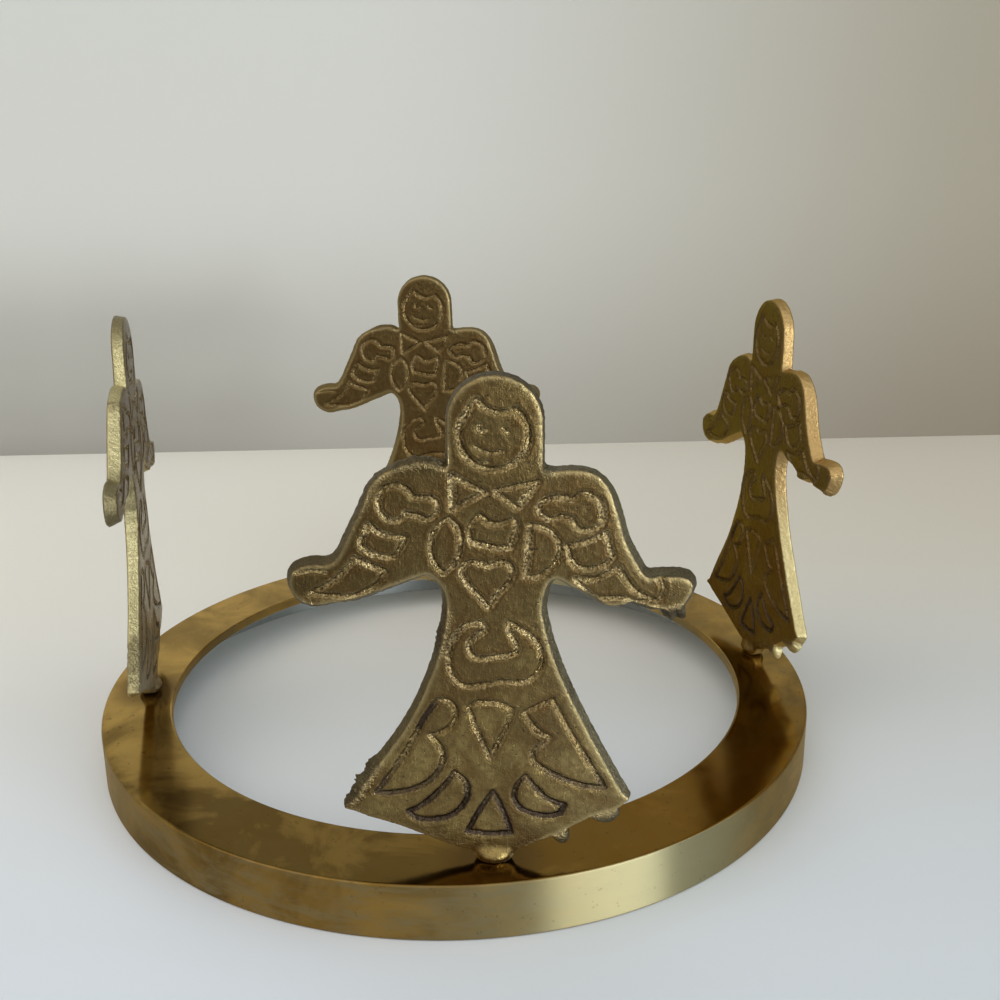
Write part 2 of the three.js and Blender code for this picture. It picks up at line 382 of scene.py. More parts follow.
# Unevenness of a casting: how far each kind rises and how far apart its swells lie, in millimetres.
FACE_SWELLS = [(0.05, 6.5), (0.03, 2.9), (0.012, 0.9)]
LINE_WIDTH_SWELLS = [(0.15, 1.5)]
LINE_DEPTH_SWELLS = [(0.3, 2.1)]
LINE_SIDE_SWELLS = [(0.07, 0.45)]
LINE_FLOOR_SWELLS = [(0.07, 0.4)]
CRUMB_SWELLS = [(0.16, 0.5), (0.08, 0.36)]
FLASH_SWELLS = [(0.4, 1.1), (0.22, 0.6)]
WALL_ROUGH = 0.05
WALL_CELL = (0.4, 0.35)
WALL_CRUMBLE = 0.5

# Shares and reaches on a casting's face and edge.
NOTCH_STRAIGHT = 0.8
FINE_SHARE = 0.7
BURR_PLACE = 1.15
BURR_WIDTH = 0.3
BURR_HEIGHT = 0.035
FALL_REACH = 0.8
CRUMB_BAND = 0.6
FLASH_MEAN = 0.7
FLASH_MOST = 1.4
CALM_FACE = (0.4, 2.5)
CALM_EDGE = (0.3, 1.4)
WORN_REACH = 0.25
GRIME_STARTS = 0.5
GRIME_REACH = 1.1
FLASH_FULL = 0.3
LUMP_SHARE = 0.3
BACK_SEED = 100


def stroke_lines(motifs):
    """The straight pieces that all strokes of the motifs are made of, as their start and end points."""
    strokes = [curve_through(stroke, STROKE_STEP) for motif in motifs.values() for stroke in motif]
    starts = np.concatenate([stroke[:-1] for stroke in strokes])
    ends = np.concatenate([stroke[1:] for stroke in strokes])
    return starts, ends


def face_ring_lines():
    """The round line about the face, open at the fringe, as straight pieces."""
    ring = arc(FACE_CENTRE, FACE_RADIUS, FACE_TOP_ANGLE, FACE_TOP_ANGLE - FACE_ROUND, STROKE_STEP)
    return ring[:-1], ring[1:]


def triangulated(points, loop_sizes):
    """Triangles over points of which the first make closed loops of the given sizes, whose edges are kept."""
    edges = []
    start = 0
    for size in loop_sizes:
        edges += [(start + step, start + (step + 1) % size) for step in range(size)]
        start += size
    made = delaunay_2d_cdt(points.tolist(), edges, [], 0, SAME_POINT, False)
    if len(made[0]) != len(points):
        raise RuntimeError("the points could not be triangulated")
    return np.array(made[2])


def ragged_stretch(off):
    """Height of a ragged stretch: full along most of it, falling off fast at its ends."""
    return np.exp(-off ** 4)


def dome(off):
    """Height of a rounded lump: half a circle."""
    return np.sqrt(np.clip(1 - off ** 2, 0, 1))


def furthest(bumps, points, shape):
    """How far the bumps stand out at each point: the most of each bump's height times its shape, which
    depends on how far off its middle is, counted in half its length."""
    off = [np.hypot(*(points - middle).T) / half_length for middle, half_length, _ in bumps]
    return np.max([bump[2] * shape(one) for bump, one in zip(bumps, off)], axis=0)


def figure_plan(edge_round, slope):
    """What all castings share on one side: the outline, its outward directions, the loop where the flat
    face starts, which lies in from the outline by the edge's rounding and by how far the wall slopes, the
    points of the face on a triangular lattice, denser along the engraved lines, and their triangles."""
    outline = figure_outline(OUTLINE_STEP)
    tangent = np.roll(outline, -1, axis=0) - np.roll(outline, 1, axis=0)
    length = np.hypot(*tangent.T)
    outward = np.stack([tangent[:, 1], -tangent[:, 0]], 1) / length[:, None]
    heading = np.unwrap(np.arctan2(tangent[:, 1], tangent[:, 0]))
    bend = (np.roll(heading, -1) - np.roll(heading, 1) + math.pi) % (2 * math.pi) - math.pi
    bend = smooth_round(bend, 1) / length
    up = outline[:, 1]
    sloping = smoothstep(*WALL_STARTS_SLOPING, up) - HEAD_WALL_UPRIGHT * smoothstep(*NECK, up)
    inset = np.minimum(edge_round + slope * sloping, CURVE_SHARE / np.maximum(bend, TINY))
    shifts = range(-3, 4)
    inset = smooth_round(np.min([np.roll(inset, shift) for shift in shifts], axis=0), 2)
    loop = outline - outward * inset[:, None]

    main = [np.concatenate(pair) for pair in zip(stroke_lines(MOTIFS), face_ring_lines())]
    fine = stroke_lines(FINE_LINES)
    low, high = outline.min(0), outline.max(0)
    rows = np.arange(low[1], high[1], FACE_SPACING * ROW_GAP)
    columns = np.arange(low[0], high[0], FACE_SPACING)
    across = columns[None, :] + (np.arange(len(rows)) % 2)[:, None] * FACE_SPACING / 2
    coarse = np.stack([across, np.broadcast_to(rows[:, None], across.shape)], 2).reshape(-1, 2)
    coarse = coarse[inside_loop(coarse, loop)]
    engraved = np.minimum(distance_to_lines(coarse, *main), distance_to_lines(coarse, *fine)) < FINE_BAND
    halves = np.array([(0, 0), (0.5, 0), (0.25, 0.5 * ROW_GAP), (-0.25, 0.5 * ROW_GAP)])
    dense = (coarse[engraved][:, None, :] + halves * FACE_SPACING).reshape(-1, 2)
    dense = dense[inside_loop(dense, loop)]
    lattice = np.concatenate([coarse[~engraved], dense])
    lattice = lattice[distance_to_lines(lattice, loop, np.roll(loop, -1, axis=0)) > LOOP_GAP * OUTLINE_STEP]

    points = np.concatenate([loop, lattice])
    triangles = triangulated(points, [len(loop)])
    bordering = (triangles < len(loop)).all(1)
    kept = ~bordering
    kept[bordering] = inside_loop(points[triangles[bordering]].mean(1), loop)
    edge = distance_to_lines(points, loop, np.roll(loop, -1, axis=0))
    crumbs = [(middle, half_length, min(1, 2 * height)) for middle, half_length, height in FLASH]
    crumbs = furthest(crumbs, points, ragged_stretch) * np.exp(-(edge / CRUMB_BAND) ** 2)
    return SimpleNamespace(
        outline=outline,
        outward=outward,
        inset=inset,
        points=points,
        triangles=triangles[kept],
        main=distance_to_lines(points, *main),
        fine=distance_to_lines(points, *fine),
        edge=edge,
        crumbs=crumbs,
    )


def half_thickness(points, thickness):
    """Half the casting's thickness: thinner at skirt and head than at the arms, with a ball at the foot."""
    across, up = points[:, 0], points[:, 1]
    share = SKIRT_SHARE + ARMS_THICKER * smoothstep(*ARMS, up) - HEAD_THINNER * smoothstep(*HEAD, up)
    plate = thickness / 2 * share
    below = np.clip(1 - up / FOOT_TUCK, 0, 1)
    aside = np.abs(across) / FOOT_RADIUS
    foot = FOOT_DEPTH * np.sqrt(np.maximum(1 - FOOT_TUCK_SHARE * below ** 2 - aside ** 2, FOOT_LEAST))
    weight = (1 - smoothstep(*FOOT_ENDS, up)) * (1 - smoothstep(*FOOT_BESIDE, aside))
    return plate * (1 - weight) + np.maximum(foot, FOOT_PLATE_SHARE * plate) * weight


def notch(distance, width):
    """Depth from 0 to 1 across an engraved line: straight sides, eased at the bottom and at the shoulders."""
    side = np.clip(1 - distance / width, 0, 1)
    return NOTCH_STRAIGHT * side + (1 - NOTCH_STRAIGHT) * smoothstep(0, 1, side)


def face_height(plan, settings, seed, ragged_share):
    """Height of one face above the casting's middle plane: half the thickness, less a fall towards the edge
    and the engraved lines, plus a low burr beside them, slow and quick unevenness and crumbs at the ragged
    edge. Also how deep in a line each point lies."""
    points = plan.points
    width = settings.groove_width / MM / 2 * (1 + swells(points, LINE_WIDTH_SWELLS, seed))
    depth = settings.groove_depth / MM * (1 + swells(points, LINE_DEPTH_SWELLS, seed + 1))
    ragged = swells(points, LINE_SIDE_SWELLS, seed + 7)
    within = notch(plan.main + ragged, width)
    within_fine = notch(plan.fine + ragged / 2, FINE_SHARE * width)
    groove = np.maximum(within, FINE_SHARE * within_fine)
    burr = np.exp(-((plan.main - BURR_PLACE * width) / (BURR_WIDTH * width)) ** 2)
    fall = settings.edge_fall / MM * np.exp(-plan.edge / FALL_REACH)
    uneven = swells(points, FACE_SWELLS, seed + 2) + groove * swells(points, LINE_FLOOR_SWELLS, seed + 5)
    crumbs = ragged_share * plan.crumbs * swells(points, CRUMB_SWELLS, seed + 8)
    calm = smoothstep(*CALM_FACE, points[:, 1])
    height = half_thickness(points, settings.thickness / MM) - fall - depth * groove * calm
    return height + (BURR_HEIGHT * burr + uneven + crumbs) * calm, groove * calm


def flash_reach(outline, seed):
    """How far ragged casting and rounded lumps stand out from the middle of the edge, along the outline."""
    ragged = np.clip(FLASH_MEAN + swells(outline, FLASH_SWELLS, seed), 0, FLASH_MOST)
    return furthest(FLASH, outline, ragged_stretch) * ragged, furthest(LUMPS, outline, dome)


def figure_surface(plans, settings, figure):
    """One casting: its front and back faces, each over its own lattice, and the edge between them, which is
    a profile of a rounding, a rough wall that slopes out towards the back and another rounding, carried
    along the outline. Gives points as (across, up, out), faces, and what the material needs at each point."""
    seed = figure.seed
    front, front_groove = face_height(plans[0], settings, seed, figure.flash)
    back, back_groove = face_height(plans[1], settings, seed + BACK_SEED, figure.flash)
    outline, outward = plans[0].outline, plans[0].outward
    count = len(outline)
    behind = len(plans[0].points)
    total = behind + len(plans[1].points)
    top, bottom = front[:count], -back[:count]
    rounding = [np.minimum(settings.edge_round / MM, plan.inset) for plan in plans]
    slope = plans[0].inset - rounding[0]
    turn = np.linspace(0, math.pi / 2, EDGE_ROWS + 1)[1:, None]
    share = np.linspace(0, 1, WALL_ROWS + 2)[1:-1, None]
    inward = np.concatenate([
        slope + rounding[0] * (1 - np.sin(turn)),
        slope * (1 - share),
        (rounding[1] * (1 - np.sin(turn)))[::-1],
    ])
    high, low = top - rounding[0], bottom + rounding[1]
    out = np.concatenate([
        high + rounding[0] * np.cos(turn),
        high + share * (low - high),
        (low - rounding[1] * np.cos(turn))[::-1],
    ])
    middle = 1 - ((out - (top + bottom) / 2) / ((top - bottom) / 2)) ** 2
    travel = np.cumsum(np.hypot(*(outline - np.roll(outline, 1, axis=0)).T))
    lattice = round(travel[-1] / WALL_CELL[0])
    along = np.broadcast_to(travel / travel[-1] * lattice, out.shape)
    place = np.stack([along, out / WALL_CELL[1] + 20], 2).reshape(-1, 2)
    filed = WALL_ROUGH * value_noise(place, 1, seed + 6, (lattice, 67)).reshape(out.shape)
    flash, lumps = flash_reach(outline, seed + 7)
    flash = figure.flash * flash
    crumble = 1 + WALL_CRUMBLE * value_noise(place, 0.9, seed + 9, (lattice, 61)).reshape(out.shape)
    calm = smoothstep(*CALM_EDGE, outline[:, 1])
    ridge = np.clip(middle, 0, 1)
    proud = (filed + flash * ridge * crumble + lumps * np.sqrt(ridge)) * calm - inward
    rim = outline + outward * proud[:, :, None]
    rim = np.concatenate([rim, out[:, :, None]], 2).reshape(-1, 3)

    points = np.concatenate([
        np.column_stack([plans[0].points, front]),
        np.column_stack([plans[1].points, -back]),
        rim,
    ])
    rows = len(out)
    index = np.concatenate([[np.arange(count)], total + np.arange(rows * count).reshape(rows, count),
                            [behind + np.arange(count)]])
    ahead = np.roll(index, -1, axis=1)
    quads = np.stack([index[:-1], index[1:], ahead[1:], ahead[:-1]], 2).reshape(-1, 4)
    faces = plans[0].triangles.tolist() + (plans[1].triangles[:, ::-1] + behind).tolist() + quads.tolist()
    corner = np.sin(turn[:, 0]) ** 4
    on_wall = np.repeat(np.concatenate([corner, np.ones(WALL_ROWS), corner[::-1]]), count)
    edge = np.concatenate([plan.edge for plan in plans])
    beside = np.maximum(np.concatenate([plan.main for plan in plans]) - GRIME_STARTS, 0)
    crumbs = figure.flash * np.concatenate([plan.crumbs for plan in plans])
    rough = np.clip(flash / FLASH_FULL + LUMP_SHARE * lumps, 0, 1)
    bare = np.zeros(rows * count)
    masks = {
        "groove": np.concatenate([front_groove, back_groove, bare]),
        "wall": np.concatenate([np.zeros(total), on_wall]),
        "edge": np.concatenate([np.exp(-(edge / WORN_REACH) ** 2), 1 - on_wall]),
        "ragged": np.concatenate([crumbs, np.tile(rough, rows)]),
        "near": np.concatenate([np.exp(-(beside / GRIME_REACH) ** 2), bare]),
    }
    return points, faces, masks


def circle(segments):
    """Points round a circle of radius 1."""
    angle = np.arange(segments) * 2 * math.pi / segments
    return np.stack([np.cos(angle), np.sin(angle)], 1)


def turned(profile, segments):
    """A profile of (radius, height) points carried round the upright axis, as points and four-sided faces.
    The faces point out where the profile runs down an outside or up an inside."""
    profile = np.array(profile, float)
    points = np.concatenate([
        profile[:, None, 0:1] * circle(segments),
        np.broadcast_to(profile[:, None, 1:2], (len(profile), segments, 1)),
    ], 2).reshape(-1, 3)
    index = np.arange(len(points)).reshape(len(profile), segments)
    ahead = np.roll(index, -1, axis=1)
    return points, np.stack([index[:-1], index[1:], ahead[1:], ahead[:-1]], 2).reshape(-1, 4)


def joined(parts):
    """Several (points, faces) as one, with points that fall on each other made one and no flat corners."""
    points = np.concatenate([part[0] for part in parts])
    starts = np.cumsum([0] + [len(part[0]) for part in parts])
    faces = [(np.array(part[1]) + start).tolist() for part, start in zip(parts, starts)]
    _, first, same = np.unique(np.round(points / WELD), axis=0, return_index=True, return_inverse=True)
    same = same.reshape(-1)
    welded = []
    for face in (face for block in faces for face in block):
        corners = list(dict.fromkeys(same[face].tolist()))
        if len(corners) > 2:
            welded.append(corners)
    return points[first], welded


def new_piece(name, points, faces, material, smooth_angle=180):
    """A mesh object at the origin from points in millimetres, shaded smooth up to an angle in degrees."""
    mesh = bpy.data.meshes.new(name)
    mesh.from_pydata((points * MM).tolist(), [], faces)
    mesh.validate()
    mesh.shade_smooth()
    if smooth_angle < 180:
        mesh.set_sharp_from_angle(angle=math.radians(smooth_angle))
    piece = bpy.data.objects.new(name, mesh)
    piece.data.materials.append(material)
    bpy.context.scene.collection.objects.link(piece)
    return piece


def stand_figure(points, figure):
    """Casting coordinates (across, up, out) to the row frame: the plate leans above its foot and turns."""
    upright = np.stack([points[:, 0], -points[:, 2], points[:, 1]], 1)
    lean = Matrix.Rotation(math.radians(figure.forward_lean), 3, "X")
    lean = np.array(lean @ Matrix.Rotation(math.radians(figure.side_lean), 3, "Y"))
    weight = smoothstep(*LEAN_STARTS, points[:, 1])[:, None]
    leaning = upright + weight * (upright @ lean.T - upright)
    return at_foot(leaning, figure)


def at_foot(points, figure):
    """Points about the upright axis of a foot, measured from the ring's top, to the row frame."""
    angle = math.radians(figure.angle)
    turn = np.array(Matrix.Rotation(angle + math.radians(90 + figure.turn), 3, "Z"))
    foot = np.array([figure.radius * math.cos(angle), figure.radius * math.sin(angle), RING_HEIGHT])
    return points @ turn.T + foot


# Shader building blocks. A field stands for an output of a node.


def add_node(tree, kind, inputs=None, **settings):
    """A node with its settings made and each named input either linked or given a value."""
    node = tree.nodes.new(kind)
    for name, value in settings.items():
        setattr(node, name, value)
    for name, value in (inputs or {}).items():
        if isinstance(value, Field):
            tree.links.new(value.socket, node.inputs[name])
        else:
            node.inputs[name].default_value = value
    return node


class Field:
    """A value, colour or place that changes over a surface. Arithmetic on it adds the nodes for it."""

    def __init__(self, socket):
        self.socket = socket
        self.tree = socket.id_data

    def through(self, kind, inputs, output=0, **settings):
        """What another node makes of the given inputs."""
        return Field(add_node(self.tree, kind, inputs, **settings).outputs[output])

    def step(self, operation, first, second=0.0):
        """The result of one step of arithmetic."""
        return self.through("ShaderNodeMath", {0: first, 1: second}, operation=operation)

    def __add__(self, other):
        return self.step("ADD", self, other)

    def __sub__(self, other):
        return self.step("SUBTRACT", self, other)

    def __rsub__(self, other):
        return self.step("SUBTRACT", other, self)

    def __mul__(self, other):
        return self.step("MULTIPLY", self, other)

    def __lt__(self, other):
        return self.step("LESS_THAN", self, other)

    def __abs__(self):
        return self.step("ABSOLUTE", self)

    def at_least(self, other):
        """The larger of two values."""
        return self.step("MAXIMUM", self, other)

    def rise(self, low, high):
        """Eased from 0 at low to 1 at high."""
        inputs = {"Value": self, "From Min": low, "From Max": high}
        return self.through("ShaderNodeMapRange", inputs, "Result", interpolation_type="SMOOTHSTEP")

    def fall(self, low, high):
        """Eased from 1 at low to 0 at high."""
        return 1.0 - self.rise(low, high)

    def mix(self, first, second):
        """The colour between first, where the value is 0, and second, where it is 1."""
        return self.through("ShaderNodeMix", {"Factor": self, 6: first, 7: second}, 2, data_type="RGBA")

    def noise(self, scale, detail=3.0, roughness=0.55, distortion=0.0):
        """Noise from 0 to 1 over a place, at so many waves to the metre."""
        inputs = {"Vector": self, "Scale": scale, "Detail": detail, "Roughness": roughness,
                  "Distortion": distortion}
        return self.through("ShaderNodeTexNoise", inputs, "Fac")

    def distance(self, point):
        """How far a place is from a point."""
        return self.through("ShaderNodeVectorMath", {0: self, 1: point}, "Value", operation="DISTANCE")

    def parts(self):
        """The X, Y and Z of a place or direction."""
        return [Field(part) for part in add_node(self.tree, "ShaderNodeSeparateXYZ", {0: self}).outputs]

    def feed(self, node, name):
        """Links it to a named input of a node."""
        self.tree.links.new(self.socket, node.inputs[name])


def source(tree, kind, output=0, **settings):
    """What a node puts out by itself."""
    return Field(add_node(tree, kind, **settings).outputs[output])


def object_place(tree):
    """The place on the piece, in metres."""
    return source(tree, "ShaderNodeTexCoord", "Object")


def masks_of(tree, names):
    """The values that the mesh carries for each point."""
    return [source(tree, "ShaderNodeAttribute", "Fac", attribute_name=name) for name in names]


def flat_place(across, up):
    """A place made of two values."""
    return across.through("ShaderNodeCombineXYZ", {"X": across, "Y": up})


AGE_INPUTS = {"Place": "NodeSocketVector", "Cloud Scale": "NodeSocketFloat", "Pit Scale": "NodeSocketFloat"}
AGE_SIGNS = ("Cloud", "Pits", "Grain")


def brass_age_group():
    """How brass ages: broad clouds of tarnish, small dark pits and a fine grain, all at a given scale."""
    if "brass_age" in bpy.data.node_groups:
        return bpy.data.node_groups["brass_age"]
    tree = bpy.data.node_groups.new("brass_age", "ShaderNodeTree")
    for label, kind in AGE_INPUTS.items():
        tree.interface.new_socket(label, in_out="INPUT", socket_type=kind)
    for label in AGE_SIGNS:
        tree.interface.new_socket(label, in_out="OUTPUT", socket_type="NodeSocketFloat")
    given, result = tree.nodes.new("NodeGroupInput"), tree.nodes.new("NodeGroupOutput")
    place, cloud_scale, pit_scale = (Field(given.outputs[label]) for label in AGE_INPUTS)
    place.noise(cloud_scale, 5, 0.6, 0.6).rise(0.36, 0.66).feed(result, "Cloud")
    off = place.through("ShaderNodeTexVoronoi", {"Vector": place, "Scale": pit_scale}, "Distance")
    size = place.noise(pit_scale * 0.37, 1).rise(0.5, 0.72) * 0.38
    (size - off).rise(0.0, 0.12).feed(result, "Pits")
    place.noise(pit_scale * 2.6, 4, 0.65).feed(result, "Grain")
    return tree


def brass_age(place, cloud_scale, pit_scale):
    """The clouds, pits and grain of aged brass, at so many waves to the metre."""
    inputs = dict(zip(AGE_INPUTS, (place, cloud_scale, pit_scale)))
    made = add_node(place.tree, "ShaderNodeGroup", inputs, node_tree=brass_age_group())
    return [Field(made.outputs[label]) for label in AGE_SIGNS]


def new_material(name):
    """A bare metal material, its node tree and its shader."""
    material = bpy.data.materials.new(name)
    material.use_nodes = True
    tree = material.node_tree
    tree.nodes.clear()
    output = tree.nodes.new("ShaderNodeOutputMaterial")
    shader = add_node(tree, "ShaderNodeBsdfPrincipled", {"Metallic": 1.0})
    tree.links.new(shader.outputs["BSDF"], output.inputs["Surface"])
    return material, tree, shader


def relief(shader, height, strength, distance):
    """Fine unevenness as a bump in the shader."""
    inputs = {"Height": height, "Strength": strength, "Distance": distance}
    height.through("ShaderNodeBump", inputs, "Normal").feed(shader, "Normal")


def cast_brass(settings):
    """Cast brass with age: olive, amber and brown clouds over the faces, painted light towards each casting's
    right and painted shade towards its left, grime beside the engraved lines, which are grains of bright and
    dark metal and dark with dirt near the hem, file marks, specks that are thickest at the hem, and grainy
    walls, filed bright on some castings, dull as cast on others, darker at the hands and the crown, and
    with painted shade towards each casting's left."""
    material, tree, shader = new_material("cast_brass")
    place = object_place(tree)
    cloud, pits, grain = brass_age(place, 110.0, 2600.0)
    groove, wall, edge, ragged, near = masks_of(tree, ("groove", "wall", "edge", "ragged", "near"))
    across, up, amber, bright = masks_of(tree, ("across", "up", "amber", "filed"))
    # Below, across and up are in millimetres, noise is in waves to the metre, and the rest are shares.
    strokes = flat_place(across * 7.0, up * 0.45).noise(1.0, 3, 0.6, 0.3)
    coarse = place.noise(3200.0, 2, 0.6)
    grains = coarse.rise(0.32, 0.66)
    patch = place.noise(260.0, 2)
    mottle = place.noise(1100.0, 4, 0.65).rise(0.4, 0.62)

    # The faces, from their plain metal to the specks on it.
    colour = cloud.mix(settings.colour, settings.aged_and_shaded_colour)
    colour = (amber * (cloud * 0.3 + 0.7)).mix(colour, settings.amber_colour)
    # Painted light: paler towards each casting's right, less so on the amber figures. A filed figure that has
    # not gone amber is also paler all over.
    worn = across.rise(-2.0, 24.0) * (amber * -0.25 + 0.25)
    colour = worn.at_least(bright - amber).mix(colour, settings.pale_and_lit_colour)
    # Painted shade towards each casting's left, mixed with mottled tone, and darker from the waist up.
    dull = across.fall(-24.0, 2.0) * 0.3 + mottle * 0.5 + up.rise(20.0, 36.0) * 0.65
    colour = dull.mix(colour, settings.aged_and_shaded_colour)
    brown = place.noise(170.0, 4, 0.6, 0.8).rise(0.5, 0.7)
    grime = (near * patch.rise(0.3, 0.7)).at_least(brown) * 0.6
    colour = grime.mix(colour, settings.grime_colour)
    scratched = strokes.rise(0.58, 0.72) * 0.18 + edge * (bright * -0.4 + 0.42)
    colour = scratched.mix(colour, settings.bright_colour)
    specks = place.noise(4600.0, 2, 0.6).rise(0.57, 0.68)
    specks = specks * (up.fall(4.0, 30.0) * 0.5 + patch.rise(0.5, 0.75))
    pits = pits.at_least(specks * 0.7)
    colour = (pits * 0.75).mix(colour, settings.line_colour)

    # The walls between them.
    # Painted shade: the walls are darker towards each casting's left.
    skin = across.rise(-6.0, 10.0).mix(settings.grimy_and_shaded_colour, settings.skin_colour)
    filed = (amber * up.rise(22.0, 36.0) * 0.75).mix(settings.wall_colour, settings.warm_colour)
    skin = bright.mix(skin, filed)
    skin = (grains * (bright * -0.35 + 0.5)).mix(skin, settings.aged_and_shaded_colour)
    hands = abs(across).rise(17.0, 22.0) * up.rise(28.0, 33.0)
    dark = hands.at_least(up.rise(56.0, 63.0)).at_least(brown) * (amber * -0.6 + 0.6)
    skin = dark.mix(skin, settings.grimy_and_shaded_colour)
    colour = (wall * 0.9).mix(colour, skin)

    # The engraved lines, bright first, then dark with dirt at the hem and in one stained line.
    line = grains.mix(settings.line_colour, settings.bright_colour)
    fresh = (patch.rise(0.35, 0.65) * 0.4 + 0.25) * (up.rise(20.0, 34.0) * 0.4 + 0.6) * (amber * -0.8 + 1.0)
    colour = (groove.rise(0.05, 0.35) * fresh).mix(colour, line)
    low = (patch * -9.0 + up).fall(2.0, 16.0)
    stain = flat_place(across, up).distance((-8.3, 20.6, 0)).fall(1.2, 3.4)
    dirt = low.at_least(stain) * groove.rise(0.1, 0.5) * 0.9
    colour = dirt.at_least(ragged * 0.3).mix(colour, settings.line_colour)
    colour.feed(shader, "Base Color")
    amber.mix((1, 1, 1, 1), settings.wall_colour).feed(shader, "Specular Tint")

    rough = cloud * 0.08 + strokes * 0.1 + wall * 0.12 + groove * -0.05 + 0.22
    rough.feed(shader, "Roughness")
    grainy = groove.rise(0.02, 0.3).at_least(wall * (bright * -1.6 + 2.0)).at_least(ragged * 3.5)
    height = coarse * grainy * 2.5 + grain * 0.5 + strokes * 0.35 + mottle * 0.45 - pits
    relief(shader, height, 0.6, 0.00012)
    return material


def polished_brass(settings):
    """Turned brass: a polished deck with brown tarnish clouds, most of them at the front, amber at its right,
    painted shade round each foot, a wall brushed round, which spreads light up and down it, under a dull haze
    and paler at its right, and a grey unpolished underside."""
    material, tree, shader = new_material("polished_brass")
    place = object_place(tree)
    cloud, pits, grain = brass_age(place, 70.0, 1600.0)
    # Below, x, y and z are in metres, noise is in waves to the metre, and the rest are shares.
    x, y, z = place.parts()
    level = source(tree, "ShaderNodeNewGeometry", "True Normal").parts()[2]
    deck = abs(level).rise(0.4, 0.9)
    wall = 1.0 - deck
    front = y.fall(-0.055, 0.005)
    tarnish = cloud * (wall * -0.35 + 0.7) + front * (deck * 0.4 + 0.4) + x.fall(-0.045, 0.02) * wall * 0.3
    colour = tarnish.mix(settings.colour, settings.tarnish_colour)
    warm = front * x.rise(-0.02, 0.04) * deck * 0.7
    colour = warm.mix(colour, settings.amber_colour)
    brushed = place.through("ShaderNodeMapping", {"Vector": place, "Scale": (1.0, 1.0, 4.0)})
    film = brushed.noise(120.0, 5, 0.7, 0.8).rise(0.38, 0.68)
    haze = film * (x.rise(0.03, 0.05) * deck * 0.5 + wall * 0.7 + 0.08)
    colour = haze.mix(colour, settings.haze_colour)
    pale = x.rise(-0.018, 0.024) * wall * (1.0 - x.rise(0.028, 0.042) * 0.85)
    colour = pale.mix(colour, settings.pale_colour)
    # Painted shade on the deck round each foot, weaker round the amber figures.
    for figure in FIGURES.values():
        foot = at_foot(np.zeros((1, 3)), figure)[0] * MM
        foot_shade = place.distance(tuple(foot)).fall(0.003, 0.0085) * deck * (0.75 - 0.45 * figure.amber)
        colour = foot_shade.mix(colour, settings.spot_and_shade_colour)
    below = z < settings.height - settings.deck + SURFACE_GAP
    under = below * (x * x + y * y < (settings.outer_radius - settings.wall + SURFACE_GAP) ** 2)
    colour = under.mix(colour, settings.under_colour)
    colour = (pits * (deck * 0.35 + 0.25)).mix(colour, settings.spot_and_shade_colour)
    colour.feed(shader, "Base Color")
    rough = (film * 0.05 + wall * 0.26 + 0.13).at_least(under * 0.6)
    rough.feed(shader, "Roughness")
    wall.feed(shader, "Anisotropic")
    shader.inputs["Anisotropic Rotation"].default_value = 0.25
    shader.inputs["Specular Tint"].default_value = settings.grazing_colour
    source(tree, "ShaderNodeTangent", direction_type="RADIAL", axis="Z").feed(shader, "Tangent")
    relief(shader, grain * 0.03 + place.noise(90.0, 2) * 0.5, 0.25, 0.0002)
    return material


def plain_brass(settings):
    """Turned screw brass with light tarnish."""
    material, tree, shader = new_material("screw_brass")
    cloud, _, grain = brass_age(object_place(tree), 500.0, 2500.0)
    cloud.mix(settings.colour, settings.tarnish_colour).feed(shader, "Base Color")
    (cloud * 0.15 + 0.26).feed(shader, "Roughness")
    relief(shader, grain, 0.3, 0.00005)
    return material


def length(label, description, millimetres):
    """A length setting, in metres with its default in millimetres."""
    return bpy.props.FloatProperty(name=label, description=description, default=millimetres * MM, min=0.0,
                                   precision=5, subtype="DISTANCE", unit="LENGTH")


def tint(label, description, red, green, blue):
    """A colour setting, from the three parts of a screen colour out of 255."""
    parts = [((part / 255 + 0.055) / 1.055) ** 2.4 for part in (red, green, blue)]
    return bpy.props.FloatVectorProperty(name=label, description=description, default=(*parts, 1.0), size=4,
                                         min=0.0, max=1.0, subtype="COLOR")


class RingSettings(bpy.types.PropertyGroup):
    """Sizes and colours of the ring."""

    outer_radius: length("Outer radius", "Radius of the ring's outside wall", RING_OUTER_RADIUS)
    inner_radius: length("Inner radius", "Radius of the opening for the candle", RING_INNER_RADIUS)
    height: length("Height", "Height of the ring", RING_HEIGHT)
    deck: length("Deck thickness", "Thickness of the flat top", 1.8)
    wall: length("Wall thickness", "Thickness of the wall round the outside", 1.6)
    edge_round: length("Edge rounding", "Radius of the broken edges", 0.35)
    hole_radius: length("Hole radius", "Radius of the hole for a figure's spigot", 1.45)
    colour: tint("Brass", "Polished metal", 196, 160, 88)
    tarnish_colour: tint("Tarnish", "Brown clouds on the metal", 102, 79, 36)
    amber_colour: tint("Amber", "Amber tarnish at the front right", 150, 108, 34)
    haze_colour: tint("Haze", "Dull film on the metal", 134, 121, 88)
    under_colour: tint("Underside", "Unpolished metal of the hollow beneath", 200, 205, 204)
    pale_colour: tint("Pale brass", "Paler metal of the wall at its right", 167, 159, 123)
    grazing_colour: tint("Grazing tint", "Tint of what the metal mirrors at a flat angle", 252, 240, 220)
    # The spot colour is also the painted shade round each foot.
    spot_and_shade_colour: tint("Spots", "Small dark spots", 84, 62, 34)


